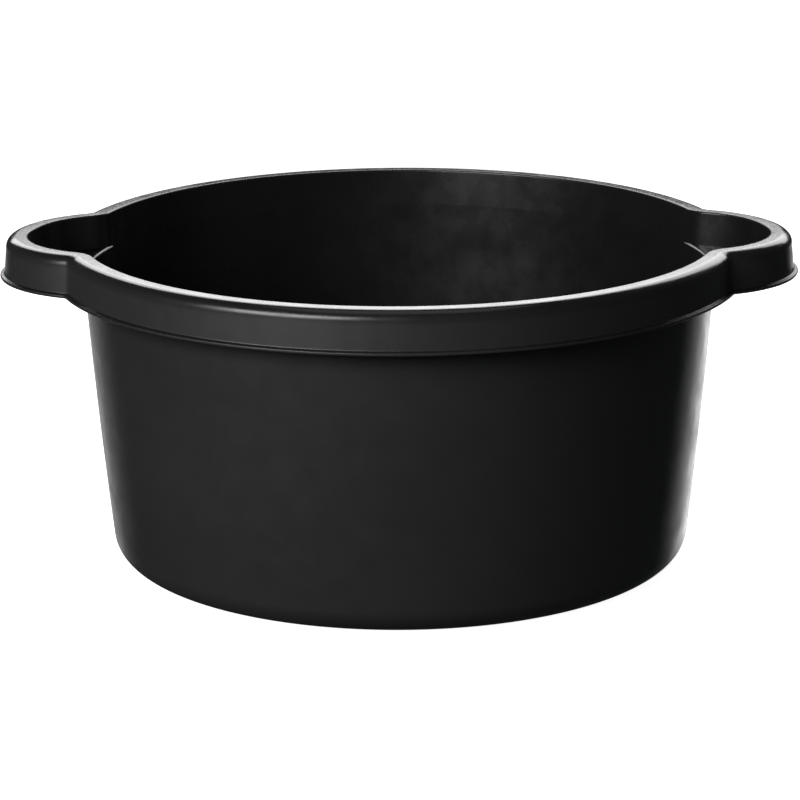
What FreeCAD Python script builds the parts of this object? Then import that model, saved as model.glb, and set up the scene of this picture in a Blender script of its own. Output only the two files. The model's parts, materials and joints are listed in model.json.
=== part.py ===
import FreeCAD, Part
import math
import os
import Sketcher

# A round plastic mixing tub with an ear-shaped carrying handle on each side.
# Millimetres. The origin is the centre of the base, on the floor. +Z is up and
# the two handles lie along X. The tub is one moulding: each body below is one
# region of it, and neighbouring regions meet face to face.

SIZES = {
    # outline of the mouth, seen from above
    "ring_radius": 239.5,     # round part of the mouth
    "ear_radius": 69.5,       # mouth of each handle
    "ear_reach": 212.4,       # from the tub's axis to a handle's centre
    "blend_radius": 25.0,     # hollow curve between the tub and a handle
    # heights
    "rim_height": 248.0,
    "ledge_height": 222.0,    # top of the floor inside a handle
    "lip_top": 219.8,
    "lip_bottom": 217.2,
    # rim section
    "wall": 2.6,
    "mouth_radius": 1.5,      # rounded inner edge of the rim
    "flat_width": 8.5,        # from the mouth to the rim's outer corner
    "corner_radius": 8.0,     # rim's outer corner
    "wall_lean": 5.3,         # degrees, draft of the wall inside the rim
    "skirt_lean": 5.0,        # degrees, the skirt's flare
    "turn_down": 2.0,         # straight part of the skirt that goes with the flange
    "lip_collar": 1.0,        # straight part of the skirt that goes with the lip
    "lip_reach": 21.5,        # from the mouth to the lip's edge
    "lip_fillet": 1.2,        # hollow corner where the skirt meets the lip
    "lip_round": 1.0,         # rounded edges of the lip
    "ledge_round": 2.4,       # edge where a handle's floor meets the tub wall
    # base and lower wall
    "base_radius": 201.9,
    "heel_radius": 20.0,
    "foot_lean": 6.12,        # degrees, draft of the wall just above the heel
    "bow_radius": 5200.0,     # slight outward bow of the wall
    "foot_width": 21.0,       # flat band that the tub stands on
    "recess_height": 1.5,     # the floor inside that band is this much higher
    "gate_radius": 6.0,
    "gate_height": 0.7,
}

FACING = {"right": 0.0, "back": 90.0, "left": 180.0, "front": 270.0}
QUARTERS = {"back_right": -1, "back_left": 1, "front_left": -1, "front_right": 1}


class Amount:
    """A size that carries both its value and its formula on the sheet."""

    def __init__(self, value, text):
        self.value = value
        self.text = text

    def __add__(self, other):
        other = amount(other)
        return Amount(self.value + other.value, "(%s + %s)" % (self.text, other.text))

    def __sub__(self, other):
        other = amount(other)
        return Amount(self.value - other.value, "(%s - %s)" % (self.text, other.text))

    def __rsub__(self, other):
        return amount(other) - self

    def __mul__(self, other):
        other = amount(other)
        return Amount(self.value * other.value, "(%s * %s)" % (self.text, other.text))

    def __truediv__(self, other):
        other = amount(other)
        return Amount(self.value / other.value, "(%s / %s)" % (self.text, other.text))

    def __neg__(self):
        return Amount(-self.value, "(0 - %s)" % self.text)


def amount(number):
    """A plain number as an Amount."""
    if isinstance(number, Amount):
        return number
    return Amount(float(number), repr(float(number)))


def sine(angle):
    """Sine of an angle in degrees."""
    return Amount(math.sin(math.radians(angle.value)), "sin(%s)" % angle.text)


def cosine(angle):
    """Cosine of an angle in degrees."""
    return Amount(math.cos(math.radians(angle.value)), "cos(%s)" % angle.text)


def root(square):
    """Square root."""
    return Amount(math.sqrt(square.value), "sqrt(%s)" % square.text)


def heading(along_x, along_y):
    """Direction of a point, in degrees anticlockwise from +X."""
    value = math.degrees(math.atan2(along_y.value, along_x.value))
    text = "(atan2(%s; %s) / 1 deg)" % (along_y.text, along_x.text)
    return Amount(value, text)


def write_sheet(doc):
    """Put every driving size on the sheet and return them all by name."""
    sheet = doc.addObject("Spreadsheet::Sheet", "sizes")
    for row, (name, value) in enumerate(SIZES.items(), start=1):
        sheet.set("A%d" % row, name)
        sheet.set("B%d" % row, str(value))
        sheet.setAlias("B%d" % row, name)
    doc.recompute()
    return {name: Amount(getattr(sheet, name), "sizes." + name) for name in SIZES}


# Sections of the rim. A point is (offset outwards from the mouth's outline,
# height, bend). The bend belongs to the edge that starts at the point: None for
# a straight edge, or a radius and a turn, 1 anticlockwise and -1 clockwise.

def inner_face(size, height):
    """Offset of the wall's inner face at a height inside the rim."""
    lean = size["wall_lean"]
    return -(size["rim_height"] - height) * (sine(lean) / cosine(lean))


def corner_end(size, radius):
    """Point at the end of the rim's outer corner, on an arc of this radius."""
    lean = size["skirt_lean"]
    offset = size["flat_width"] + radius * cosine(lean)
    height = size["rim_height"] - size["corner_radius"] + radius * sine(lean)
    return offset, height


def down_skirt(size, radius, height):
    """Offset of the skirt's face that leaves the corner arc of this radius."""
    lean = size["skirt_lean"]
    top_offset, top_height = corner_end(size, radius)
    return top_offset + (top_height - height) * (sine(lean) / cosine(lean))


def skirt_top(size):
    """Height at which the flange gives way to the skirt."""
    return size["rim_height"] - size["corner_radius"] - size["turn_down"]


def lip_fillet_top(size):
    """Height at which the skirt's face enters the hollow corner at the lip."""
    return size["lip_top"] + size["lip_fillet"] * (1.0 - sine(size["skirt_lean"]))


def skirt_end(size):
    """Height at which the skirt gives way to the lip."""
    return lip_fillet_top(size) + size["lip_collar"]


def wall_section(size, foot_height):
    """The drafted wall between a height and the underside of the rim."""
    thickness = size["wall"]
    head_height = size["rim_height"] - thickness
    foot = inner_face(size, foot_height)
    head = inner_face(size, head_height)
    return [
        (foot, foot_height, None),
        (foot + thickness, foot_height, None),
        (head + thickness, head_height, None),
        (head, head_height, None),
    ]


def flange_section(size):
    """The rim's flat top, its inner rounded edge and its outer corner."""
    lean = size["wall_lean"]
    top = size["rim_height"]
    under = top - size["wall"]
    mouth = size["mouth_radius"]
    corner = size["corner_radius"]
    inside = corner - size["wall"]
    edge_height = top - mouth * (1.0 - sine(lean))
    edge = inner_face(size, edge_height)
    end = skirt_top(size)
    outer_offset, outer_height = corner_end(size, corner)
    inner_offset, inner_height = corner_end(size, inside)
    return [
        (inner_face(size, under), under, None),
        (edge, edge_height, (mouth, -1)),
        (edge + mouth * cosine(lean), top, None),
        (size["flat_width"], top, (corner, -1)),
        (outer_offset, outer_height, None),
        (down_skirt(size, corner, end), end, None),
        (down_skirt(size, inside, end), end, None),
        (inner_offset, inner_height, (inside, 1)),
        (size["flat_width"], under, None),
    ]


def skirt_section(size):
    """The flared skirt that hangs from the rim's outer corner."""
    corner = size["corner_radius"]
    inside = corner - size["wall"]
    start = skirt_top(size)
    end = skirt_end(size)
    return [
        (down_skirt(size, inside, start), start, None),
        (down_skirt(size, inside, end), end, None),
        (down_skirt(size, corner, end), end, None),
        (down_skirt(size, corner, start), start, None),
    ]


def lip_section(size):
    """The turned-out lip that stiffens the skirt's lower edge."""
    corner = size["corner_radius"]
    inside = corner - size["wall"]
    start = skirt_end(size)
    hollow = lip_fillet_top(size)
    fillet = size["lip_fillet"]
    edge = size["lip_round"]
    reach = size["lip_reach"]
    foot = down_skirt(size, corner, hollow)
    return [
        (down_skirt(size, corner, start), start, None),
        (foot, hollow, (fillet, 1)),
        (foot + fillet * cosine(size["skirt_lean"]), size["lip_top"], None),
        (reach - edge, size["lip_top"], (edge, -1)),
        (reach, size["lip_top"] - edge, None),
        (reach, size["lip_bottom"] + edge, (edge, -1)),
        (reach - edge, size["lip_bottom"], None),
        (down_skirt(size, inside, size["lip_bottom"]), size["lip_bottom"], None),
        (down_skirt(size, inside, start), start, None),
    ]


def around(section, radius, outwards=1):
    """A section as points from an arc's centre, mirrored for a hollow arc."""
    points = []
    for offset, height, bend in section:
        distance = radius + offset if outwards == 1 else radius - offset
        turned = (bend[0], bend[1] * outwards) if bend else None
        points.append((distance, height, turned))
    return points


# Sketches.

def origin_plane(body, role):
    """One of a body's own origin planes."""
    return [item for item in body.Origin.OriginFeatures if item.Role == role][0]


def new_sketch(body, name, role):
    """An empty sketch on one of the body's origin planes."""
    sketch = body.newObject("Sketcher::SketchObject", name)
    sketch.AttachmentSupport = [(origin_plane(body, role), "")]
    sketch.MapMode = "FlatFace"
    return sketch


def arc_between(start, end, radius, turn):
    """The short arc from one point to the next, turning the given way."""
    chord = end - start
    rise = math.sqrt(radius * radius - chord.Length * chord.Length / 4.0)
    left = FreeCAD.Vector(-chord.y, chord.x, 0).normalize()
    centre = (start + end) * 0.5 + left * (turn * rise)
    first, last = (start, end) if turn == 1 else (end, start)
    begin = math.atan2(first.y - centre.y, first.x - centre.x)
    finish = math.atan2(last.y - centre.y, last.x - centre.x)
    circle = Part.Circle(centre, FreeCAD.Vector(0, 0, 1), radius)
    return Part.ArcOfCircle(circle, begin, finish)


def bind(sketch, constraint, formula):
    """Add a sized constraint and tie it to its formula on the sheet."""
    index = sketch.addConstraint(constraint)
    sketch.setExpression("Constraints[%d]" % index, formula.text)


def fix_across(sketch, kind, edge, end, distance):
    """Hold a point at a signed distance from the sketch's origin."""
    if distance.value < 0.0:
        size = -distance
        bind(sketch, Sketcher.Constraint(kind, edge, end, -1, 1, size.value), size)
    else:
        bind(sketch, Sketcher.Constraint(kind, -1, 1, edge, end, distance.value), distance)


def draw_outline(sketch, points):
    """Draw a closed outline of lines and arcs, fully held by the sheet."""
    count = len(points)
    places = [FreeCAD.Vector(across.value, up.value, 0) for across, up, bend in points]
    heads = []
    for index, (across, up, bend) in enumerate(points):
        start = places[index]
        end = places[(index + 1) % count]
        if bend is None:
            sketch.addGeometry(Part.LineSegment(start, end), False)
            heads.append((1, 2))
        else:
            sketch.addGeometry(arc_between(start, end, bend[0].value, bend[1]), False)
            heads.append((1, 2) if bend[1] == 1 else (2, 1))
    for index in range(count):
        follower = (index + 1) % count
        sketch.addConstraint(
            Sketcher.Constraint("Coincident", index, heads[index][1], follower, heads[follower][0])
        )
    for index, (across, up, bend) in enumerate(points):
        fix_across(sketch, "DistanceX", index, heads[index][0], across)
        fix_across(sketch, "DistanceY", index, heads[index][0], up)
        if bend is not None:
            bind(sketch, Sketcher.Constraint("Radius", index, bend[0].value), bend[0])


def draw_circle(sketch, radius):
    """Draw a circle about the sketch's origin."""
    centre = FreeCAD.Vector(0, 0, 0)
    circle = Part.Circle(centre, FreeCAD.Vector(0, 0, 1), radius.value)
    edge = sketch.addGeometry(circle, False)
    sketch.addConstraint(Sketcher.Constraint("Coincident", edge, 3, -1, 1))
    bind(sketch, Sketcher.Constraint("Radius", edge, radius.value), radius)


# Features.

def new_body(doc, name, turn=None):
    """A body with its own label, turned about the tub's axis."""
    turn = amount(0.0) if turn is None else turn
    body = doc.addObject("PartDesign::Body", name)
    body.Label = name
    rotation = FreeCAD.Rotation(FreeCAD.Vector(0, 0, 1), turn.value)
    body.Placement = FreeCAD.Placement(FreeCAD.Vector(0, 0, 0), rotation)
    body.setExpression("Placement.Rotation.Angle", turn.text)
    return body


def revolve(body, name, points, angle, centre=None, direction=None):
    """Turn an outline about an upright axis, half the angle to each side."""
    sketch = new_sketch(body, name + "_section", "XZ_Plane")
    if centre is not None:
        place_section(sketch, centre, direction)
    draw_outline(sketch, points)
    feature = body.newObject("PartDesign::Revolution", name)
    feature.Profile = sketch
    feature.ReferenceAxis = (sketch, ["V_Axis"])
    feature.Midplane = True
    feature.Angle = angle.value
    feature.setExpression("Angle", angle.text)
    sketch.Visibility = False
    return feature


def place_section(sketch, centre, direction):
    """Stand a section's axis at a centre, facing a direction in degrees."""
    place = FreeCAD.Vector(centre[0].value, 0, -centre[1].value)
    rotation = FreeCAD.Rotation(FreeCAD.Vector(0, 1, 0), direction.value)
    sketch.AttachmentOffset = FreeCAD.Placement(place, rotation)
    sketch.setExpression("AttachmentOffset.Base.x", centre[0].text)
    sketch.setExpression("AttachmentOffset.Base.z", (-centre[1]).text)
    sketch.setExpression("AttachmentOffset.Rotation.Angle", direction.text)


def pad(body, name, sketch, start, thickness):
    """Raise a flat outline into a plate that starts at a height."""
    sketch.AttachmentOffset = FreeCAD.Placement(
        FreeCAD.Vector(0, 0, start.value), FreeCAD.Rotation()
    )
    sketch.setExpression("AttachmentOffset.Base.z", start.text)
    feature = body.newObject("PartDesign::Pad", name)
    feature.Profile = sketch
    feature.Length = thickness.value
    feature.setExpression("Length", thickness.text)
    sketch.Visibility = False
    return feature


# Regions of the tub.

def outline_layout(size):
    """Centre and angles of the hollow curve between the tub and a handle."""
    far = size["ring_radius"] + size["blend_radius"]
    near = size["ear_radius"] + size["blend_radius"]
    reach = size["ear_reach"]
    along = (far * far - near * near + reach * reach) / (reach * 2.0)
    aside = root(far * far - along * along)
    return {
        "centre": (along, aside),
        "ring_angle": heading(along, aside),
        "ear_angle": heading(along - reach, aside),
    }


def make_rim_side(doc, size, layout, name, side, section):
    """A region along the round part of the rim, at the front or the back."""
    body = new_body(doc, name, amount(FACING[side]))
    angle = 180.0 - layout["ring_angle"] * 2.0
    revolve(body, name + "_ring", around(section, size["ring_radius"]), angle)
    return body


def make_handle_side(doc, size, layout, name, side, section):
    """A region along a handle: its round end and a hollow curve each side."""
    body = new_body(doc, name, amount(FACING[side]))
    nothing = amount(0.0)
    along, aside = layout["centre"]
    tip = around(section, size["ear_radius"])
    hollow = around(section, size["blend_radius"], outwards=-1)
    sweep = layout["ear_angle"] - layout["ring_angle"]
    middle = (layout["ear_angle"] + layout["ring_angle"]) / 2.0
    revolve(body, name + "_tip", tip, layout["ear_angle"] * 2.0,
            (size["ear_reach"], nothing), nothing)
    revolve(body, name + "_rear_curve", hollow, sweep,
            (along, aside), middle + 180.0)
    revolve(body, name + "_near_curve", hollow, sweep,
            (along, -aside), 180.0 - middle)
    return body


def make_pocket_floor(doc, size, layout, side):
    """The shelf inside a handle, with its rounded edge at the tub wall."""
    name = side + "_handle_floor"
    body = new_body(doc, name, amount(FACING[side]))
    thickness = size["wall"]
    under = size["ledge_height"] - thickness
    inner = size["ring_radius"] + inner_face(size, under)
    offset = inner_face(size, size["ledge_height"]) + thickness
    outer = size["ring_radius"] + offset
    ear = size["ear_radius"] + offset
    hollow = size["blend_radius"] - offset
    ring_angle = layout["ring_angle"]
    ear_angle = layout["ear_angle"]
    ear_x = size["ear_reach"] + ear * cosine(ear_angle)
    ear_y = ear * sine(ear_angle)
    outer_x = outer * cosine(ring_angle)
    outer_y = outer * sine(ring_angle)
    inner_x = inner * cosine(ring_angle)
    inner_y = inner * sine(ring_angle)
    sketch = new_sketch(body, name + "_outline", "XY_Plane")
    draw_outline(sketch, [
        (inner_x, -inner_y, None),
        (outer_x, -outer_y, (hollow, -1)),
        (ear_x, -ear_y, (ear, 1)),
        (ear_x, ear_y, (hollow, -1)),
        (outer_x, outer_y, None),
        (inner_x, inner_y, (inner, -1)),
    ])
    plate = pad(body, name + "_plate", sketch, under, thickness)
    doc.recompute()
    edge_name = top_edge(plate.Shape, inner.value, size["ledge_height"].value)
    rounding = body.newObject("PartDesign::Fillet", name + "_edge")
    rounding.Base = (plate, [edge_name])
    rounding.Radius = size["ledge_round"].value
    rounding.setExpression("Radius", size["ledge_round"].text)
    body.Tip = rounding
    return body


def top_edge(shape, radius, height):
    """Name of the shape's round edge with this radius at this height."""
    for index, edge in enumerate(shape.Edges, start=1):
        circular = isinstance(edge.Curve, Part.Circle)
        level = abs(edge.BoundBox.ZMax - height) + abs(edge.BoundBox.ZMin - height)
        if circular and level < 1e-3 and abs(edge.Curve.Radius - radius) < 1e-3:
            return "Edge%d" % index
    raise RuntimeError("the edge to round was not found")


def sectors(layout):
    """Facing and angle of each sector of the round wall, by name.

    A sector faces each handle. Three equal ones fill the front, and three the back.
    """
    between = layout["ring_angle"] * 2.0
    third = (180.0 - between) / 3.0
    found = {}
    for side, facing in FACING.items():
        found[side] = (amount(facing), between if side in ("left", "right") else third)
    for name, way in QUARTERS.items():
        middle = amount(FACING[name.split("_")[0]])
        found[name] = (middle + third if way > 0 else middle - third, third)
    return found


def make_tub_wall(doc, size, name, facing, angle):
    """One sector of the bowed, drafted wall, from the heel up to the seam."""
    thickness = size["wall"]
    head_height = size["ledge_height"] - thickness
    head = size["ring_radius"] + inner_face(size, head_height)
    outer_x, outer_z = heel_end(size, size["heel_radius"])
    inner_x, inner_z = heel_end(size, size["heel_radius"] - thickness)
    body = new_body(doc, name + "_wall", facing)
    revolve(body, name + "_wall_turn", [
        (inner_x, inner_z, None),
        (outer_x, outer_z, (size["bow_radius"], 1)),
        (head + thickness, head_height, None),
        (head, head_height, (size["bow_radius"] - thickness, -1)),
    ], angle)
    return body


def heel_end(size, radius):
    """Point where an arc of the heel gives way to the wall."""
    lean = size["foot_lean"]
    across = size["base_radius"] + radius * cosine(lean)
    return across, size["heel_radius"] - radius * sine(lean)


def make_heel(doc, size, name, facing, angle):
    """One sector of the rounded corner between the base and the wall."""
    thickness = size["wall"]
    inside = size["heel_radius"] - thickness
    outer_x, outer_z = heel_end(size, size["heel_radius"])
    inner_x, inner_z = heel_end(size, inside)
    body = new_body(doc, name + "_base_corner", facing)
    revolve(body, name + "_base_corner_turn", [
        (size["base_radius"], amount(0.0), (size["heel_radius"], 1)),
        (outer_x, outer_z, None),
        (inner_x, inner_z, (inside, -1)),
        (size["base_radius"], thickness, None),
    ], angle)
    return body


def make_foot_ring(doc, size):
    """The flat band that the tub stands on, stepped up to the floor."""
    outer = size["base_radius"]
    step = outer - size["foot_width"]
    inner = step - size["recess_height"]
    body = new_body(doc, "foot_ring")
    revolve(body, "foot_ring_turn", [
        (step, amount(0.0), None),
        (outer, amount(0.0), None),
        (outer, size["wall"], None),
        (step, size["wall"], None),
        (inner, size["wall"] + size["recess_height"], None),
        (inner, size["recess_height"], None),
    ], amount(360.0))
    return body


def make_floor(doc, size):
    """The floor, raised clear of the ground inside the foot ring."""
    body = new_body(doc, "floor_panel")
    sketch = new_sketch(body, "floor_outline", "XY_Plane")
    draw_circle(sketch, size["base_radius"] - size["foot_width"] - size["recess_height"])
    pad(body, "floor_plate", sketch, size["recess_height"], size["wall"])
    return body


def make_gate_mark(doc, size):
    """The round stub under the floor where the plastic was injected."""
    body = new_body(doc, "gate_mark")
    sketch = new_sketch(body, "gate_outline", "XY_Plane")
    draw_circle(sketch, size["gate_radius"])
    start = size["recess_height"] - size["gate_height"]
    pad(body, "gate_stub", sketch, start, size["gate_height"])
    return body


def make_rim(doc, size, layout):
    """Every region of the rim: two long sides and two handles."""
    seam = size["ledge_height"] - size["wall"]
    sections = {
        "flange": flange_section(size),
        "skirt": skirt_section(size),
        "lip": lip_section(size),
    }
    bodies = []
    for side in ("front", "back"):
        wall = wall_section(size, seam)
        bodies.append(make_rim_side(doc, size, layout, side + "_upper_wall", side, wall))
        for part, section in sections.items():
            name = "%s_rim_%s" % (side, part)
            bodies.append(make_rim_side(doc, size, layout, name, side, section))
    for side in ("left", "right"):
        wall = wall_section(size, size["ledge_height"])
        bodies.append(make_handle_side(doc, size, layout, side + "_handle_wall", side, wall))
        bodies.append(make_pocket_floor(doc, size, layout, side))
        for part, section in sections.items():
            name = "%s_handle_%s" % (side, part)
            bodies.append(make_handle_side(doc, size, layout, name, side, section))
    return bodies


def check_document(doc, bodies):
    """Stop if any object failed or any region isn't one valid solid."""
    for item in doc.Objects:
        if "Invalid" in item.State or "Error" in item.State:
            raise RuntimeError("%s failed: %s" % (item.Name, item.State))
    for body in bodies:
        shape = body.Shape
        if shape.isNull() or not shape.isValid() or len(shape.Solids) != 1:
            raise RuntimeError("%s isn't one valid solid" % body.Label)


def export(bodies):
    """Write each region to its own file and print its size."""
    os.makedirs("parts", exist_ok=True)
    for body in bodies:
        box = body.Shape.BoundBox
        body.Shape.exportStep("parts/%s.step" % body.Label)
        print("%-24s volume %9.0f  x %7.1f %7.1f  y %7.1f %7.1f  z %6.1f %6.1f" % (
            body.Label, body.Shape.Volume, box.XMin, box.XMax,
            box.YMin, box.YMax, box.ZMin, box.ZMax))


def main():
    """Build the whole tub and write its parts."""
    doc = FreeCAD.newDocument("mixing_tub")
    size = write_sheet(doc)
    layout = outline_layout(size)
    bodies = [
        make_floor(doc, size),
        make_foot_ring(doc, size),
        make_gate_mark(doc, size),
    ]
    for name, (facing, angle) in sectors(layout).items():
        bodies.append(make_heel(doc, size, name, facing, angle))
        bodies.append(make_tub_wall(doc, size, name, facing, angle))
    bodies += make_rim(doc, size, layout)
    doc.recompute()
    check_document(doc, bodies)
    export(bodies)


main()
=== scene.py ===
import json
import math

import bmesh
import bpy
from bpy.props import FloatProperty, FloatVectorProperty, PointerProperty
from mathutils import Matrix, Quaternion, Vector

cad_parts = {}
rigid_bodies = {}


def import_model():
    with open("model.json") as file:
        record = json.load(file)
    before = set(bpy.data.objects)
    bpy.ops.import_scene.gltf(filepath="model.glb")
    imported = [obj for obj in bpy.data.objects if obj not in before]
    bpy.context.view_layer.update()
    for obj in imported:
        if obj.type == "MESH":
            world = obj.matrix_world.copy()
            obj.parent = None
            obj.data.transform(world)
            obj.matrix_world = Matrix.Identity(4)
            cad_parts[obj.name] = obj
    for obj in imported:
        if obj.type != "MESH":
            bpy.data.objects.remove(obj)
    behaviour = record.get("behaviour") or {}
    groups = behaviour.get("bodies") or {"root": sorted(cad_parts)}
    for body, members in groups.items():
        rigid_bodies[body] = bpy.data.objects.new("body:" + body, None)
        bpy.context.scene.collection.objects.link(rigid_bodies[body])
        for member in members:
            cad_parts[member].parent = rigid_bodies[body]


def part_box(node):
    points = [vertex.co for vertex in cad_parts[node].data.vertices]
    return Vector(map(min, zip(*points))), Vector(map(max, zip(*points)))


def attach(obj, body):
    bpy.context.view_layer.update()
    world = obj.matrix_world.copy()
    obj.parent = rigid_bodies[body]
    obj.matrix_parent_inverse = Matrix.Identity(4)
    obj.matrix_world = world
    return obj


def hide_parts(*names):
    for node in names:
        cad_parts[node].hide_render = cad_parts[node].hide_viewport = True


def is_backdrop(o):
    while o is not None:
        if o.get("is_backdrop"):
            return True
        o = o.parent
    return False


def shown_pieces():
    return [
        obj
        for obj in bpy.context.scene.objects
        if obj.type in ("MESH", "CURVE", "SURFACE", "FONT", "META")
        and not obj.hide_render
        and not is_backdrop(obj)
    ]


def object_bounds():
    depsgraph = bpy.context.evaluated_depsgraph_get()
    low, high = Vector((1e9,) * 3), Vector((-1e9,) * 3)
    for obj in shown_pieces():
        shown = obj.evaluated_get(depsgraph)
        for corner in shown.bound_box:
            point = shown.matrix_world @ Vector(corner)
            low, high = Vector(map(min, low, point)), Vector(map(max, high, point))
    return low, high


bl_info = {
    "name": "Mixing tub",
    "version": (1, 0, 0),
    "blender": (4, 5, 0),
    "location": "3D View > Sidebar > Tub",
    "description": "A moulded plastic mixing tub with an ear-shaped handle on each side",
    "category": "Add Mesh",
}

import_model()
CAD_BOX = [list(corner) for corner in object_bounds()]
BODY = "root"
SKIN = "_skin"              # ending of every visible piece's name
UP = Vector((0.0, 0.0, 1.0))
MERGE = 2e-5                # points nearer than this are one point
LEVEL = 0.9                 # a face counts as level when its normal is this upright
SMOOTH_ANGLE = math.radians(40.0)   # sharper corners stay sharp

# Steps round the outline and across the sections.
THIRD_STEPS = 48            # a third of the front or back
NEAR_STEPS = 38             # the round wall beside a handle
EAR_STEPS = 90              # the arc of a handle
BLEND_STEPS = 32            # the hollow curve between tub and handle
BIG_STEPS = 20              # the rim's outer corner, the heel and the wall
INSIDE_STEPS = 12           # the rim's corner underneath
SMALL_STEPS = 8             # the mouth, the lip's hollow and the shelf's edge
EDGE_STEPS = 6              # the lip's edges and the foot's step

LIP_LOW, LIP_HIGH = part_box("front_rim_lip")
EAR_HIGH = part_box("right_handle_lip")[1]
FLANGE_LOW, FLANGE_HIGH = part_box("front_rim_flange")
SHELF_LOW, SHELF_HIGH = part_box("right_handle_floor")
FOOT_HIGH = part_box("foot_ring")[1]
PANEL_LOW, PANEL_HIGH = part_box("floor_panel")
GATE_LOW, GATE_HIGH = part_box("gate_mark")


def length(name, description, default):
    """A size in metres that a user may change."""
    return FloatProperty(name=name, description=description, default=default, unit="LENGTH",
                         subtype="DISTANCE", min=0.0, precision=4)


def lean(name, description, default):
    """A draft angle, given in degrees and kept in radians."""
    return FloatProperty(name=name, description=description, default=math.radians(default),
                         unit="ROTATION", subtype="ANGLE")


class TubSizes(bpy.types.PropertyGroup):
    """Sizes of the moulding. Those that the frame states are read from it."""

    lip_reach: length("Lip reach", "From the mouth to the lip's outer edge", 0.0215)
    ear_radius: length("Handle radius", "Mouth radius of a handle", 0.0695)
    blend_radius: length("Blend radius", "Hollow curve between tub and handle", 0.025)
    rim_height: length("Rim height", "Top of the rim", FLANGE_HIGH.z)
    ledge_height: length("Shelf height", "Top of the shelf inside a handle", SHELF_HIGH.z)
    lip_top: length("Lip top", "Upper face of the turned-out lip", 0.2198)
    lip_bottom: length("Lip bottom", "Lower face of the turned-out lip", LIP_LOW.z)
    wall: length("Wall thickness", "Thickness of the plastic", PANEL_HIGH.z - PANEL_LOW.z)
    mouth_radius: length("Mouth rounding", "Rounded inner edge of the rim", 0.0015)
    flat_width: length("Flat width", "From the mouth to the rim's outer corner", 0.0085)
    corner_radius: length("Corner rounding", "Rounded outer corner of the rim", 0.008)
    lip_fillet: length("Lip hollow", "Hollow corner between skirt and lip", 0.0012)
    lip_round: length("Lip rounding", "Rounded edges of the lip", 0.001)
    shelf_round: length("Shelf rounding", "Rounded inner edge of a handle's shelf", 0.0024)
    base_radius: length("Base radius", "Where the base starts to turn up", FOOT_HIGH.x)
    heel_radius: length("Heel rounding", "Rounded corner between base and wall", 0.020)
    bow_radius: length("Wall bow", "Radius of the wall's slight bow", 5.2)
    recess: length("Base recess", "Height of the floor above the ground", PANEL_LOW.z)
    gate_radius: length("Gate radius", "Radius of the injection stub", GATE_HIGH.x)
    wall_lean: lean("Wall draft", "Draft of the wall inside the rim", 5.3)
    skirt_lean: lean("Skirt flare", "Flare of the skirt", 5.0)
    foot_lean: lean("Foot draft", "Draft of the wall just above the heel", 6.12)


def colour(name, description, default):
    """A colour that a user may change."""
    return FloatVectorProperty(name=name, description=description, default=default,
                               subtype="COLOR", size=3, min=0.0, max=1.0)


def share(name, description, default):
    """A share from nothing to all."""
    return FloatProperty(name=name, description=description, default=default, min=0.0, max=1.0)


def brightness(name, description):
    """How bright a group of lights is, against its usual brightness."""
    return FloatProperty(name=name, description=description, default=1.0, min=0.0)


class TubFinish(bpy.types.PropertyGroup):
    """Look of the plastic: textured outside, polished inside."""

    outer_colour: colour("Outer plastic", "Colour of the textured outside",
                         (0.0230, 0.0230, 0.0234))
    inner_colour: colour("Inner plastic", "Colour of the polished inside",
                         (0.0085, 0.0085, 0.0087))
    outer_roughness: share("Outer roughness", "Roughness of the textured outside", 0.42)
    inner_roughness: share("Inner roughness", "Roughness of the polished inside", 0.27)
    rim_roughness: share("Rim roughness", "Roughness of the polished flat of the rim", 0.13)
    grain: length("Grain depth", "Depth of the fine mould texture", 0.00005)
    wave: length("Waviness", "Depth of the slow waves in the moulded skin", 0.0004)


class TubStage(bpy.types.PropertyGroup):
    """Floor and light."""

    floor: colour("Floor", "Colour of the studio floor", (0.86, 0.86, 0.86))
    key: brightness("Back light", "Strength of the lights behind the tub")
    fill: brightness("Fill light", "Strength of the lights in front and overhead")


# Outline and sections.

class Layout:
    """Derived places of the tub's outline and walls, in metres and radians."""

    def __init__(self, sizes):
        self.s = sizes
        self.ring = -LIP_LOW.y - sizes.lip_reach
        self.ear_x = EAR_HIGH.x - sizes.lip_reach - sizes.ear_radius
        far = self.ring + sizes.blend_radius
        near = sizes.ear_radius + sizes.blend_radius
        along = (far ** 2 - near ** 2 + self.ear_x ** 2) / (2.0 * self.ear_x)
        aside = math.sqrt(far ** 2 - along ** 2)
        self.blend = Vector((along, aside, 0.0))
        self.ring_angle = math.atan2(aside, along)
        self.ear_angle = math.atan2(aside, along - self.ear_x)
        self.seam = SHELF_LOW.z
        self.under = sizes.rim_height - sizes.wall
        self.skirt_top = FLANGE_LOW.z
        self.skirt_end = LIP_HIGH.z

    def inner(self, height):
        """Offset of the wall's inner face from the mouth at a height."""
        return -(self.s.rim_height - height) * math.tan(self.s.wall_lean)

    def skirt(self, radius, height):
        """Offset of the skirt's face that leaves the corner arc of this radius."""
        slope = self.s.skirt_lean
        start = self.s.flat_width + radius * math.cos(slope)
        level = self.s.rim_height - self.s.corner_radius + radius * math.sin(slope)
        return start + (level - height) * math.tan(slope)

    def heel_end(self, radius):
        """Where an arc of the heel gives way to the wall."""
        across = self.s.base_radius + radius * math.cos(self.s.foot_lean)
        return across, self.s.heel_radius - radius * math.sin(self.s.foot_lean)


def arc(centre, radius, start, end, steps):
    """Points of an arc, from one angle to another, both ends included."""
    angles = [start + (end - start) * step / steps for step in range(steps + 1)]
    return [(centre[0] + radius * math.cos(a), centre[1] + radius * math.sin(a)) for a in angles]


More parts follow.
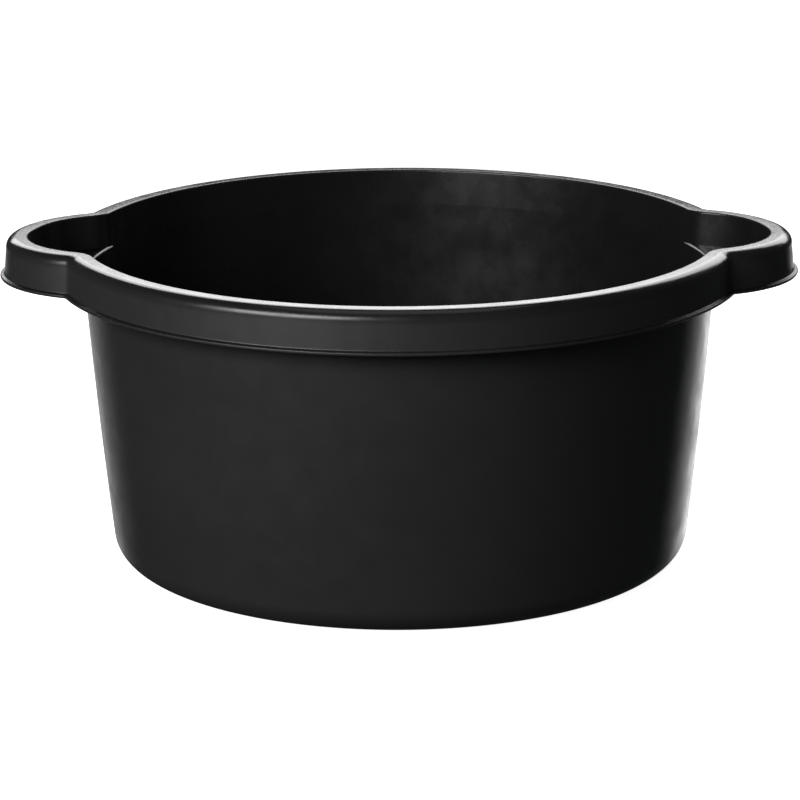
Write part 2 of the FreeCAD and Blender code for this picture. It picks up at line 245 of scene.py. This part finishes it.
def bowed(start, end, radius, steps):
    """Points of a long shallow arc that bows outwards, both ends included."""
    chord = Vector(end) - Vector(start)
    half = chord.length / 2.0
    depth = math.sqrt(radius ** 2 - half ** 2)
    side = Vector((-chord.y, chord.x)).normalized()
    if side.x > 0.0:
        side.negate()
    centre = (Vector(start) + Vector(end)) / 2.0 + side * depth
    first = math.atan2(start[1] - centre.y, start[0] - centre.x)
    last = math.atan2(end[1] - centre.y, end[0] - centre.x)
    return arc(centre, radius, first, last, steps)


def flange_section(lay):
    """Flat top of the rim, its rounded mouth and its rounded outer corner."""
    s = lay.s
    top = s.rim_height
    inside = s.corner_radius - s.wall
    edge_height = top - s.mouth_radius * (1.0 - math.sin(s.wall_lean))
    mouth = (lay.inner(edge_height) + s.mouth_radius * math.cos(s.wall_lean),
             top - s.mouth_radius)
    corner = (s.flat_width, top - s.corner_radius)
    right = math.pi / 2.0
    points = [(lay.inner(lay.under), lay.under)]
    points += arc(mouth, s.mouth_radius, math.pi - s.wall_lean, right, SMALL_STEPS)
    points += arc(corner, s.corner_radius, right, s.skirt_lean, BIG_STEPS)
    points.append((lay.skirt(s.corner_radius, lay.skirt_top), lay.skirt_top))
    points.append((lay.skirt(inside, lay.skirt_top), lay.skirt_top))
    points += arc(corner, inside, s.skirt_lean, right, INSIDE_STEPS)
    points.append((lay.inner(lay.under) + s.wall, lay.under))
    return points


def skirt_section(lay):
    """Flared skirt that hangs from the rim."""
    s = lay.s
    inside = s.corner_radius - s.wall
    return [
        (lay.skirt(inside, lay.skirt_top), lay.skirt_top),
        (lay.skirt(inside, lay.skirt_end), lay.skirt_end),
        (lay.skirt(s.corner_radius, lay.skirt_end), lay.skirt_end),
        (lay.skirt(s.corner_radius, lay.skirt_top), lay.skirt_top),
    ]


def lip_section(lay):
    """Turned-out lip under the skirt."""
    s = lay.s
    inside = s.corner_radius - s.wall
    hollow = s.lip_top + s.lip_fillet * (1.0 - math.sin(s.skirt_lean))
    foot = lay.skirt(s.corner_radius, hollow)
    fillet = (foot + s.lip_fillet * math.cos(s.skirt_lean), s.lip_top + s.lip_fillet)
    edge = s.lip_reach - s.lip_round
    right = math.pi / 2.0
    points = [(lay.skirt(s.corner_radius, lay.skirt_end), lay.skirt_end)]
    points += arc(fillet, s.lip_fillet, math.pi + s.skirt_lean, 3.0 * right, SMALL_STEPS)
    points += arc((edge, s.lip_top - s.lip_round), s.lip_round, right, 0.0, EDGE_STEPS)
    points += arc((edge, s.lip_bottom + s.lip_round), s.lip_round, 0.0, -right, EDGE_STEPS)
    points.append((lay.skirt(inside, s.lip_bottom), s.lip_bottom))
    points.append((lay.skirt(inside, lay.skirt_end), lay.skirt_end))
    return points


def upper_wall_section(lay, foot):
    """Drafted wall from a height up to the underside of the rim."""
    return [
        (lay.inner(foot), foot),
        (lay.inner(foot) + lay.s.wall, foot),
        (lay.inner(lay.under) + lay.s.wall, lay.under),
        (lay.inner(lay.under), lay.under),
    ]


def wall_section(lay):
    """Bowed wall, as distances from the tub's axis."""
    s = lay.s
    head = lay.ring + lay.inner(lay.seam)
    outer = bowed(lay.heel_end(s.heel_radius), (head + s.wall, lay.seam), s.bow_radius,
                  BIG_STEPS)
    inner = bowed((head, lay.seam), lay.heel_end(s.heel_radius - s.wall),
                  s.bow_radius - s.wall, BIG_STEPS)
    return outer + inner


def heel_section(lay):
    """Rounded corner between base and wall, as distances from the axis."""
    s = lay.s
    centre = (s.base_radius, s.heel_radius)
    down = -math.pi / 2.0
    outer = arc(centre, s.heel_radius, down, -s.foot_lean, BIG_STEPS)
    inner = arc(centre, s.heel_radius - s.wall, -s.foot_lean, down, BIG_STEPS)
    return outer + inner


def foot_section(lay):
    """Flat standing band, stepped up smoothly to the floor."""
    s = lay.s
    slope = math.radians(60.0)
    radius = s.recess / (2.0 * (1.0 - math.cos(slope)))
    inner = PANEL_HIGH.x
    reach = 2.0 * radius * math.sin(slope)
    up = math.pi / 2.0

    def step(level):
        """Two arcs that lead from the floor down to the band."""
        high = arc((inner, level - radius), radius, up, up - slope, EDGE_STEPS)
        low = arc((inner + reach, level - s.recess + radius), radius, -up - slope, -up,
                  EDGE_STEPS)
        return high + low[1:]

    bottom = step(s.recess) + [(s.base_radius, 0.0)]
    top = step(s.recess + s.wall) + [(s.base_radius, s.wall)]
    return bottom + top[::-1]


# Working in edit mode.

def begin(name):
    """Start a piece as one point at the origin, in edit mode."""
    bpy.ops.object.select_all(action="DESELECT")
    bpy.ops.mesh.primitive_plane_add(size=0.01)
    piece = bpy.context.object
    piece.name = name
    piece.data.name = name
    bpy.ops.object.mode_set(mode="EDIT")
    bpy.ops.mesh.select_mode(type="VERT")
    bpy.ops.mesh.select_all(action="SELECT")
    bpy.ops.mesh.merge(type="CENTER")
    return piece


def pull(points):
    """Move the point to the first place, then extrude it from place to place."""
    bpy.ops.transform.translate(value=points[0])
    for before, after in zip(points, points[1:]):
        bpy.ops.mesh.extrude_region_move(TRANSFORM_OT_translate={"value": after - before})


def fill():
    """Close the outline that was pulled with a face."""
    bpy.ops.mesh.select_all(action="SELECT")
    bpy.ops.mesh.remove_doubles(threshold=MERGE / 10.0)
    bpy.ops.mesh.edge_face_add()
    bpy.ops.mesh.select_all(action="SELECT")


def turn(angle, steps, centre=Vector()):
    """Spin what is selected anticlockwise about an upright axis."""
    axis = -UP if angle > 0.0 else UP
    bpy.ops.mesh.spin(steps=steps, angle=abs(angle), center=centre, axis=axis)


def choose(kind, test):
    """Select only the vertices, edges or faces that pass a test."""
    mesh = bpy.context.object.data
    bpy.ops.mesh.select_mode(type=kind)
    bpy.ops.mesh.select_all(action="DESELECT")
    drawn = bmesh.from_edit_mesh(mesh)
    group = {"VERT": drawn.verts, "EDGE": drawn.edges, "FACE": drawn.faces}[kind]
    for item in group:
        item.select_set(test(item))
    drawn.select_flush(True)
    bmesh.update_edit_mesh(mesh)


def drop_inner_faces():
    """Delete the faces inside a shell, where two spins or two regions meet."""
    bpy.ops.mesh.select_mode(type="FACE")
    bpy.ops.mesh.select_all(action="DESELECT")
    bpy.ops.mesh.select_interior_faces()
    bpy.ops.mesh.delete(type="ONLY_FACE")


def end():
    """Merge, turn the faces outwards, shade smooth and leave edit mode."""
    bpy.ops.mesh.select_mode(type="VERT")
    bpy.ops.mesh.select_all(action="SELECT")
    bpy.ops.mesh.remove_doubles(threshold=MERGE)
    drop_inner_faces()
    bpy.ops.mesh.select_all(action="SELECT")
    bpy.ops.mesh.normals_make_consistent(inside=False)
    bpy.ops.mesh.select_all(action="DESELECT")
    bpy.ops.object.mode_set(mode="OBJECT")
    bpy.ops.object.shade_smooth_by_angle(angle=SMOOTH_ANGLE)


def settle(piece, region):
    """Seat a finished piece on the frame in place of its region's node."""
    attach(piece, BODY)
    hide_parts(region)


def copy_across(piece, name):
    """A copy with its own mesh, turned half round the tub's axis."""
    bpy.ops.object.select_all(action="DESELECT")
    bpy.context.view_layer.objects.active = piece
    piece.select_set(True)
    bpy.ops.object.duplicate()
    twin = bpy.context.object
    twin.name = name
    twin.data.name = name
    bpy.ops.transform.rotate(value=math.pi, orient_axis="Z", center_override=(0.0, 0.0, 0.0))
    bpy.ops.object.transform_apply(location=True, rotation=True, scale=True)
    return twin


# Regions that go round the outline.

def standing(section, base, angle):
    """A section stood upright at an angle round the tub's axis."""
    across = Vector((math.cos(angle), math.sin(angle), 0.0))
    return [across * (base + offset) + UP * height for offset, height in section]


def sweep_side(lay, side):
    """Spin the selected section along one side of the tub's round wall."""
    between = 2.0 * lay.ring_angle
    if side in ("left", "right"):
        turn(between, NEAR_STEPS)
    else:
        turn(math.pi - between, 3 * THIRD_STEPS)


def sweep_handle(lay):
    """Spin the selected section along a handle, from its near end to its far end."""
    bend = lay.ear_angle - lay.ring_angle
    near = Vector((lay.blend.x, -lay.blend.y, 0.0))
    turn(-bend, BLEND_STEPS, near)
    turn(2.0 * lay.ear_angle, EAR_STEPS, Vector((lay.ear_x, 0.0, 0.0)))
    turn(-bend, BLEND_STEPS, lay.blend)


def make_rim_sides(lay, part, section):
    """Model a region of the back rim, copy it to the front, and seat both."""
    piece = begin("back_" + part + SKIN)
    pull(standing(section, lay.ring, lay.ring_angle))
    fill()
    sweep_side(lay, "back")
    end()
    twin = copy_across(piece, "front_" + part + SKIN)
    settle(piece, "back_" + part)
    settle(twin, "front_" + part)


def make_sectors(lay, part, section):
    """Model a region's four sectors from the right handle round to the back left one.

    The other four are copies of these, turned half round the tub.
    """
    between = 2.0 * lay.ring_angle
    third = (math.pi - between) / 3.0
    pairs = (("right", "left"), ("back_right", "front_left"),
             ("back", "front"), ("back_left", "front_right"))
    start = -lay.ring_angle
    for name, opposite in pairs:
        angle, steps = (between, NEAR_STEPS) if name == "right" else (third, THIRD_STEPS)
        piece = begin("%s_%s%s" % (name, part, SKIN))
        pull(standing(section, 0.0, start))
        fill()
        turn(angle, steps)
        end()
        twin = copy_across(piece, "%s_%s%s" % (opposite, part, SKIN))
        settle(piece, "%s_%s" % (name, part))
        settle(twin, "%s_%s" % (opposite, part))
        start += angle


def make_handle_parts(lay, part, section):
    """Model a region of the right handle, copy it to the left, and seat both."""
    piece = begin("right_handle_" + part + SKIN)
    pull(standing(section, lay.ring, -lay.ring_angle))
    fill()
    sweep_handle(lay)
    end()
    twin = copy_across(piece, "left_handle_" + part + SKIN)
    settle(piece, "right_handle_" + part)
    settle(twin, "left_handle_" + part)


def make_shelves(lay):
    """Model the shelf inside each handle, with a rounded edge along the tub wall."""
    s = lay.s
    offset = lay.inner(s.ledge_height) + s.wall
    inner = lay.ring + lay.inner(lay.seam)
    angle = lay.ring_angle
    bend = lay.ear_angle - angle
    out = Vector((math.cos(angle), math.sin(angle), 0.0))
    piece = begin("right_handle_floor" + SKIN)
    bpy.ops.transform.translate(value=Vector((out.x, -out.y, 0.0)) * inner + UP * s.ledge_height)
    turn(2.0 * angle, NEAR_STEPS)
    step = out * (lay.ring + offset - inner)
    bpy.ops.mesh.extrude_region_move(TRANSFORM_OT_translate={"value": step})
    turn(bend, BLEND_STEPS, lay.blend)
    turn(-2.0 * lay.ear_angle, EAR_STEPS, Vector((lay.ear_x, 0.0, 0.0)))
    turn(bend, BLEND_STEPS, Vector((lay.blend.x, -lay.blend.y, 0.0)))
    fill()
    bpy.ops.mesh.extrude_region_move(TRANSFORM_OT_translate={"value": -UP * s.wall})

    def on_edge(edge):
        """Whether an edge runs along the tub wall at the shelf's top."""
        places = [corner.co for corner in edge.verts]
        return all(abs(place.xy.length - inner) < MERGE and place.z > s.ledge_height - MERGE
                   for place in places)

    choose("EDGE", on_edge)
    bpy.ops.mesh.bevel(offset=s.shelf_round, segments=SMALL_STEPS, affect="EDGES")
    end()
    twin = copy_across(piece, "left_handle_floor" + SKIN)
    settle(piece, "right_handle_floor")
    settle(twin, "left_handle_floor")


# Operators that model the pieces.

class TUB_OT_base(bpy.types.Operator):
    """Model the floor, the foot ring, the gate mark and the base corner"""

    bl_idname = "tub.base"
    bl_label = "Base"

    def execute(self, context):
        lay = Layout(context.scene.tub_sizes)
        self.floor(lay)
        self.foot(lay)
        self.gate(lay)
        make_sectors(lay, "base_corner", heel_section(lay))
        return {"FINISHED"}

    def floor(self, lay):
        """The floor: a disc, with a narrow band inset round both its faces."""
        band = 0.004
        piece = begin("floor_panel" + SKIN)
        radius = PANEL_HIGH.x
        start = Vector((radius * math.cos(lay.ring_angle), -radius * math.sin(lay.ring_angle), 0))
        bpy.ops.transform.translate(value=start + UP * PANEL_LOW.z)
        for side in ("right", "back", "left", "front"):
            sweep_side(lay, side)
        fill()
        bpy.ops.mesh.extrude_region_move(TRANSFORM_OT_translate={"value": UP * lay.s.wall})
        choose("FACE", lambda face: abs(face.normal.z) > LEVEL)
        bpy.ops.mesh.inset(thickness=band, depth=0.0)
        end()
        settle(piece, "floor_panel")

    def foot(self, lay):
        """The foot ring, spun right round."""
        piece = begin("foot_ring" + SKIN)
        pull(standing(foot_section(lay), 0.0, -lay.ring_angle))
        fill()
        for side in ("right", "back", "left", "front"):
            sweep_side(lay, side)
        end()
        settle(piece, "foot_ring")

    def gate(self, lay):
        """The gate mark: a low stub with a broken-off sprue in the middle of a hollow."""
        radius = lay.s.gate_radius
        low, high = GATE_LOW.z, GATE_HIGH.z
        height = high - low
        insets = (                              # width and depth of each ring, outermost first
            (radius * 0.25, 0.0),               # flat shoulder
            (radius * 0.08, -height * 0.5),     # into the hollow
            (radius * 0.35, 0.0),               # bottom of the hollow
            (radius * 0.05, height * 0.35),     # out to the sprue's broken end
        )
        sharp = math.radians(60.0)
        rounding = height * 0.12
        bpy.ops.object.select_all(action="DESELECT")
        bpy.ops.mesh.primitive_cylinder_add(
            vertices=64, radius=radius, depth=height, location=(0, 0, (low + high) / 2.0))
        piece = bpy.context.object
        piece.name = "gate_mark" + SKIN
        bpy.ops.object.transform_apply(location=True, rotation=True, scale=True)
        bpy.ops.object.mode_set(mode="EDIT")
        choose("FACE", lambda face: face.normal.z < -LEVEL)
        for thickness, depth in insets:
            bpy.ops.mesh.inset(thickness=thickness, depth=depth)
        choose("EDGE", lambda edge: edge.calc_face_angle(0.0) > sharp
               and edge.verts[0].co.z < high - MERGE)
        bpy.ops.mesh.bevel(offset=rounding, segments=3, affect="EDGES")
        end()
        settle(piece, "gate_mark")


class TUB_OT_walls(bpy.types.Operator):
    """Model the sloping wall and the wall inside the rim"""

    bl_idname = "tub.walls"
    bl_label = "Walls"

    def execute(self, context):
        lay = Layout(context.scene.tub_sizes)
        make_sectors(lay, "wall", wall_section(lay))
        make_rim_sides(lay, "upper_wall", upper_wall_section(lay, lay.seam))
        return {"FINISHED"}


class TUB_OT_handles(bpy.types.Operator):
    """Model the wall and the shelf of each handle pocket"""

    bl_idname = "tub.handles"
    bl_label = "Handle pockets"

    def execute(self, context):
        lay = Layout(context.scene.tub_sizes)
        make_handle_parts(lay, "wall", upper_wall_section(lay, lay.s.ledge_height))
        make_shelves(lay)
        return {"FINISHED"}


class TUB_OT_rim(bpy.types.Operator):
    """Model the rim: its flat top, its skirt and its lip"""

    bl_idname = "tub.rim"
    bl_label = "Rim"

    def execute(self, context):
        lay = Layout(context.scene.tub_sizes)
        sections = {
            "flange": flange_section(lay),
            "skirt": skirt_section(lay),
            "lip": lip_section(lay),
        }
        for part, section in sections.items():
            make_rim_sides(lay, "rim_" + part, section)
            make_handle_parts(lay, part, section)
        return {"FINISHED"}


class TUB_OT_blend(bpy.types.Operator):
    """Shade the regions as one moulding, with no line where they meet"""

    bl_idname = "tub.blend"
    bl_label = "Blend shading"

    def execute(self, context):
        skins = [item for item in context.scene.objects if item.name.endswith(SKIN)]
        whole = self.join_copies(context, skins)
        for skin in skins:
            self.borrow_normals(context, skin, whole)
        bpy.data.objects.remove(whole)
        return {"FINISHED"}

    def join_copies(self, context, skins):
        """One closed shell from copies of every region."""
        bpy.ops.object.select_all(action="DESELECT")
        for skin in skins:
            skin.select_set(True)
        context.view_layer.objects.active = skins[0]
        bpy.ops.object.duplicate()
        bpy.ops.object.join()
        whole = context.object
        bpy.ops.object.mode_set(mode="EDIT")
        bpy.ops.mesh.select_mode(type="VERT")
        bpy.ops.mesh.select_all(action="SELECT")
        bpy.ops.mesh.remove_doubles(threshold=MERGE)
        drop_inner_faces()
        bpy.ops.object.mode_set(mode="OBJECT")
        bpy.ops.object.shade_smooth_by_angle(angle=SMOOTH_ANGLE)
        weigh = whole.modifiers.new("weigh", "WEIGHTED_NORMAL")
        weigh.keep_sharp = True
        bpy.ops.object.modifier_apply(modifier="weigh")
        return whole

    def borrow_normals(self, context, skin, whole):
        """Give a region the normals that the whole moulding has there."""
        bpy.ops.object.select_all(action="DESELECT")
        skin.select_set(True)
        context.view_layer.objects.active = skin
        carry = skin.modifiers.new("carry", "DATA_TRANSFER")
        carry.object = whole
        carry.use_loop_data = True
        carry.data_types_loops = {"CUSTOM_NORMAL"}
        carry.loop_mapping = "NEAREST_POLYNOR"
        bpy.ops.object.modifier_apply(modifier="carry")


# Material.

CLOUD_SCALE = 7.0           # slow drift of the colour
WAVE_SCALE = 9.0            # slow waves of the moulded skin
MOTTLE_SCALE = 45.0         # faint handling marks in the gloss
GRAIN_SCALE = 1100.0        # fine texture of the mould
COLOUR_SWING = 0.12         # how far the colour drifts, as a share
GLOSS_SWING = 0.05          # how far the roughness drifts
NOISE_RANGE = (0.3, 0.7)    # most of a noise texture's values lie in here
WAVE_STRENGTH = 0.6
GRAIN_STRENGTH = 0.7
OUTSIDE_WAVES = 0.5         # share of the waviness that the textured outside has
INSIDE_GRAIN = 0.2          # share of the grain that the polished inside has
UPWARD = 0.4                # a face that looks up into the tub is this upright or more
PLASTIC_IOR = 1.5


def node(tree, kind, place, **values):
    """A shader node with its place and its settings."""
    made = tree.nodes.new(kind)
    made.location = place
    for name, value in values.items():
        if name in made.inputs:
            made.inputs[name].default_value = value
        else:
            setattr(made, name, value)
    return made


def noise(tree, coords, place, scale, detail, rough=0.5):
    """A noise texture on the given coordinates."""
    made = node(tree, "ShaderNodeTexNoise", place, Scale=scale, Detail=detail, Roughness=rough)
    tree.links.new(coords, made.inputs["Vector"])
    return made.outputs["Fac"]


def ranged(tree, value, place, low, high, start, finish):
    """A value mapped from the range start to finish to the range low to high."""
    made = node(tree, "ShaderNodeMapRange", place)
    for name, number in (("From Min", start), ("From Max", finish),
                         ("To Min", low), ("To Max", high)):
        made.inputs[name].default_value = number
    tree.links.new(value, made.inputs["Value"])
    return made.outputs["Result"]


def bump(tree, height, below, place, distance, strength):
    """A bump layer on top of the layer below it."""
    made = node(tree, "ShaderNodeBump", place, Distance=distance, Strength=strength)
    tree.links.new(height, made.inputs["Height"])
    if below is not None:
        tree.links.new(below, made.inputs["Normal"])
    return made.outputs["Normal"]


def shaded(tree, coords, place, tone):
    """A colour that drifts a little lighter and darker over the surface."""
    x, y = place
    cloud = noise(tree, coords, (x - 600, y), CLOUD_SCALE, 3.0)
    shade = ranged(tree, cloud, (x - 400, y), 1.0 - COLOUR_SWING, 1.0 + COLOUR_SWING,
                   *NOISE_RANGE)
    made = node(tree, "ShaderNodeVectorMath", (x, y), operation="SCALE")
    made.inputs[0].default_value = tone
    tree.links.new(shade, made.inputs["Scale"])
    return made.outputs["Vector"]


def worn(tree, coords, place, roughness):
    """Roughness with faint handling marks."""
    x, y = place
    mottle = noise(tree, coords, (x - 500, y), MOTTLE_SCALE, 6.0, 0.6)
    return ranged(tree, mottle, (x, y), roughness - GLOSS_SWING, roughness + GLOSS_SWING,
                  *NOISE_RANGE)


def blended(tree, share_of_second, first, second, place, kind):
    """A mix of two values or colours."""
    made = node(tree, "ShaderNodeMix", place, data_type=kind)
    slots = [item for item in made.inputs if item.enabled]
    tree.links.new(share_of_second, slots[0])
    for value, slot in ((first, slots[1]), (second, slots[2])):
        if isinstance(value, bpy.types.NodeSocket):
            tree.links.new(value, slot)
        else:
            slot.default_value = value
    return next(item for item in made.outputs if item.enabled)


def start_material(name):
    """A new material with an empty tree, its shader and its coordinates."""
    material = bpy.data.materials.new(name)
    material.use_nodes = True
    tree = material.node_tree
    tree.nodes.clear()
    output = node(tree, "ShaderNodeOutputMaterial", (900, 0))
    shader = node(tree, "ShaderNodeBsdfPrincipled", (600, 0))
    shader.inputs["IOR"].default_value = PLASTIC_IOR
    tree.links.new(shader.outputs["BSDF"], output.inputs["Surface"])
    coords = node(tree, "ShaderNodeTexCoord", (-1200, 0)).outputs["Object"]
    return material, tree, shader, coords


def skin_bump(tree, coords, shader, depth, grain):
    """Slow waves of this depth with the mould's fine texture on top."""
    wave = noise(tree, coords, (-900, -300), WAVE_SCALE, 2.0)
    fine = noise(tree, coords, (-900, -600), GRAIN_SCALE, 3.0)
    slow = bump(tree, wave, None, (-300, -300), depth, WAVE_STRENGTH)
    both = bump(tree, fine, slow, (0, -500), grain, GRAIN_STRENGTH)
    tree.links.new(both, shader.inputs["Normal"])


def outer_plastic(lay, finish):
    """Black plastic with a fine mould texture, which turns polished at the top of the rim."""
    material, tree, shader, coords = start_material("textured_black_plastic")
    height = node(tree, "ShaderNodeSeparateXYZ", (-900, 700))
    tree.links.new(coords, height.inputs["Vector"])
    near_top = ranged(tree, height.outputs["Z"], (-600, 700), 0.0, 1.0,
                      lay.skirt_top, lay.s.rim_height)
    textured = shaded(tree, coords, (-200, 500), finish.outer_colour)
    polished = shaded(tree, coords, (-200, 300), finish.inner_colour)
    tint = blended(tree, near_top, textured, polished, (200, 400), "RGBA")
    tree.links.new(tint, shader.inputs["Base Color"])
    dull = worn(tree, coords, (-200, 0), finish.outer_roughness)
    bright = worn(tree, coords, (-200, -150), finish.rim_roughness)
    rough = blended(tree, near_top, dull, bright, (200, 0), "FLOAT")
    tree.links.new(rough, shader.inputs["Roughness"])
    skin_bump(tree, coords, shader, finish.wave * OUTSIDE_WAVES, finish.grain)
    return material


def inner_plastic(finish):
    """Black plastic with the smooth shine of a polished mould core."""
    material, tree, shader, coords = start_material("polished_black_plastic")
    tint = shaded(tree, coords, (0, 300), finish.inner_colour)
    tree.links.new(tint, shader.inputs["Base Color"])
    rough = worn(tree, coords, (0, 0), finish.inner_roughness)
    tree.links.new(rough, shader.inputs["Roughness"])
    skin_bump(tree, coords, shader, finish.wave, finish.grain * INSIDE_GRAIN)
    return material


class TUB_OT_finish(bpy.types.Operator):
    """Give every region the textured plastic outside and the polished plastic inside"""

    bl_idname = "tub.finish"
    bl_label = "Plastic"

    def execute(self, context):
        lay = Layout(context.scene.tub_sizes)
        outer = outer_plastic(lay, context.scene.tub_finish)
        inner = inner_plastic(context.scene.tub_finish)
        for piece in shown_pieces():
            piece.data.materials.clear()
            piece.data.materials.append(outer)
            piece.data.materials.append(inner)
            self.polish_inside(context, piece, lay)
        return {"FINISHED"}

    def polish_inside(self, context, piece, lay):
        """Give the faces that look into the tub the polished plastic."""

        def looks_in(face):
            """Whether a face points at the axis, or up from the shelves' level or lower."""
            middle = face.calc_center_median()
            inwards = face.normal.xy.dot(middle.xy) < -MERGE
            low_enough = lay.s.recess < middle.z < lay.s.ledge_height + MERGE
            return inwards or (low_enough and face.normal.z > UPWARD)

        bpy.ops.object.select_all(action="DESELECT")
        piece.select_set(True)
        context.view_layer.objects.active = piece
        bpy.ops.object.mode_set(mode="EDIT")
        choose("FACE", looks_in)
        piece.active_material_index = 1
        bpy.ops.object.material_slot_assign()
        bpy.ops.object.mode_set(mode="OBJECT")


# Stage.

FLOOR_REACH = 4.0           # where the paper starts to curve up
CURVE_RADIUS = 2.0
CURVE_STEPS = 12
BACKDROP_TOP = 6.0
ROUND_STEPS = 96            # steps of the paper's full turn
PAPER_GLOW = 0.95           # the paper shines nearly white by itself
POLE = 0.001                # radius of the small ring that is merged in the paper's middle

# Name, place, aim, size, radiance and the setting that scales it. The two glows stand
# lower than the paper, which casts no shadow, and light the sides from below.
LAMPS = (
    ("back_panel", (0.25, 1.5, 1.19), (0.25, 0.0, 1.19), (2.6, 1.2), 3.5, "key"),
    ("left_glow", (-0.62, 1.5, -0.36), (-0.26, 0.0, 0.1), (0.95, 0.6), 1.6, "key"),
    ("right_glow", (0.62, 1.5, -0.36), (0.26, 0.0, 0.1), (0.95, 0.6), 4.8, "key"),
    ("front_panel", (-1.55, -1.95, 1.28), (0.0, 0.0, 0.2), (2.0, 1.1), 9.5, "fill"),
    ("top_panel", (0.0, 0.0, 2.4), (0.0, 0.0, 0.0), (1.6, 1.6), 0.5, "fill"),
)
AMBIENT = 0.04
AMBIENT_TINT = (0.9, 0.95, 1.0, 1.0)

LENS = 146.13               # millimetres
SENSOR = 36.0               # millimetres
DISTANCE = 2.5              # metres from the tub's middle
ELEVATION = math.radians(15.12)
AZIMUTH = math.radians(0.25)
ROLL = math.radians(-0.29)
AIM_DROP = 0.0087           # the camera looks this far below the tub's middle


def lamp(name, place, aim, size, radiance):
    """A soft rectangular light that looks at a point and isn't seen itself."""
    data = bpy.data.lights.new(name, "AREA")
    data.shape = "RECTANGLE"
    data.size, data.size_y = size
    data.energy = math.pi * radiance * size[0] * size[1]
    holder = bpy.data.objects.new(name, data)
    bpy.context.scene.collection.objects.link(holder)
    holder.location = place
    holder.rotation_euler = (Vector(aim) - Vector(place)).to_track_quat("-Z", "Y").to_euler()
    holder.visible_camera = False


class TUB_OT_stage(bpy.types.Operator):
    """Set the pale floor, the soft lights and the camera"""

    bl_idname = "tub.stage"
    bl_label = "Stage"

    def execute(self, context):
        setup = context.scene.tub_stage
        self.floor(setup)
        self.lights(setup)
        self.camera(context)
        context.scene.view_settings.view_transform = "Standard"
        return {"FINISHED"}

    def floor(self, setup):
        """A pale floor that curves up into a round backdrop."""
        sweep = begin("studio_sweep")
        curve = arc((FLOOR_REACH, CURVE_RADIUS), CURVE_RADIUS, -math.pi / 2.0, 0.0, CURVE_STEPS)
        pull([Vector((POLE, 0, 0))] + [Vector((x, 0, z)) for x, z in curve]
             + [Vector((FLOOR_REACH + CURVE_RADIUS, 0, BACKDROP_TOP))])
        bpy.ops.mesh.select_all(action="SELECT")
        turn(2.0 * math.pi, ROUND_STEPS)
        bpy.ops.mesh.select_all(action="SELECT")
        bpy.ops.mesh.remove_doubles(threshold=1.5 * POLE)
        bpy.ops.mesh.normals_make_consistent(inside=True)
        bpy.ops.object.mode_set(mode="OBJECT")
        bpy.ops.object.shade_smooth()
        material = bpy.data.materials.new("pale_paper")
        material.use_nodes = True
        shader = material.node_tree.nodes["Principled BSDF"]
        shader.inputs["Base Color"].default_value = (*setup.floor, 1.0)
        shader.inputs["Roughness"].default_value = 0.9
        shader.inputs["Specular IOR Level"].default_value = 0.1
        shader.inputs["Emission Color"].default_value = (1.0, 1.0, 1.0, 1.0)
        shader.inputs["Emission Strength"].default_value = PAPER_GLOW
        sweep.data.materials.append(material)
        sweep.visible_glossy = False
        sweep.visible_diffuse = False
        sweep.visible_shadow = False
        sweep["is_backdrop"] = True

    def lights(self, setup):
        """Soft panels: behind, low at each side behind, at the front left and overhead."""
        for name, place, aim, size, radiance, setting in LAMPS:
            lamp(name, place, aim, size, radiance * getattr(setup, setting))
        world = bpy.data.worlds.new("studio")
        world.use_nodes = True
        sky = world.node_tree.nodes["Background"]
        sky.inputs["Color"].default_value = AMBIENT_TINT
        sky.inputs["Strength"].default_value = AMBIENT
        bpy.context.scene.world = world

    def camera(self, context):
        """A long lens, a little above the rim, turned very slightly."""
        middle = (CAD_BOX[0][2] + CAD_BOX[1][2]) / 2.0
        away = Vector((-math.sin(AZIMUTH) * math.cos(ELEVATION),
                       -math.cos(AZIMUTH) * math.cos(ELEVATION), math.sin(ELEVATION)))
        data = bpy.data.cameras.new("camera")
        data.lens = LENS
        data.sensor_width = SENSOR
        holder = bpy.data.objects.new("camera", data)
        context.scene.collection.objects.link(holder)
        holder.location = away * DISTANCE + UP * middle
        aim = UP * (middle - AIM_DROP)
        look = (aim - holder.location).to_track_quat("-Z", "Y")
        holder.rotation_mode = "QUATERNION"
        holder.rotation_quaternion = Quaternion(look @ UP, ROLL) @ look
        context.scene.camera = holder


class TUB_PT_panel(bpy.types.Panel):
    """The tub's steps, in order"""

    bl_label = "Mixing tub"
    bl_idname = "TUB_PT_panel"
    bl_space_type = "VIEW_3D"
    bl_region_type = "UI"
    bl_category = "Tub"

    def draw(self, context):
        for step in STEPS:
            self.layout.operator(step.bl_idname)
        for group in (context.scene.tub_finish, context.scene.tub_stage, context.scene.tub_sizes):
            for name in group.__annotations__:
                self.layout.prop(group, name)


STEPS = (TUB_OT_base, TUB_OT_walls, TUB_OT_handles, TUB_OT_rim, TUB_OT_blend,
         TUB_OT_finish, TUB_OT_stage)
CLASSES = (TubSizes, TubFinish, TubStage, *STEPS, TUB_PT_panel)


def register():
    """Register the classes and the settings."""
    for item in CLASSES:
        bpy.utils.register_class(item)
    bpy.types.Scene.tub_sizes = PointerProperty(type=TubSizes)
    bpy.types.Scene.tub_finish = PointerProperty(type=TubFinish)
    bpy.types.Scene.tub_stage = PointerProperty(type=TubStage)


def unregister():
    """Remove the settings and the classes."""
    del bpy.types.Scene.tub_stage
    del bpy.types.Scene.tub_finish
    del bpy.types.Scene.tub_sizes
    for item in reversed(CLASSES):
        bpy.utils.unregister_class(item)


def main():
    """Model, finish and stage the tub."""
    register()
    bpy.ops.tub.base()
    bpy.ops.tub.walls()
    bpy.ops.tub.handles()
    bpy.ops.tub.rim()
    bpy.ops.tub.blend()
    bpy.ops.tub.finish()
    bpy.ops.tub.stage()


if __name__ == "__main__":
    main()
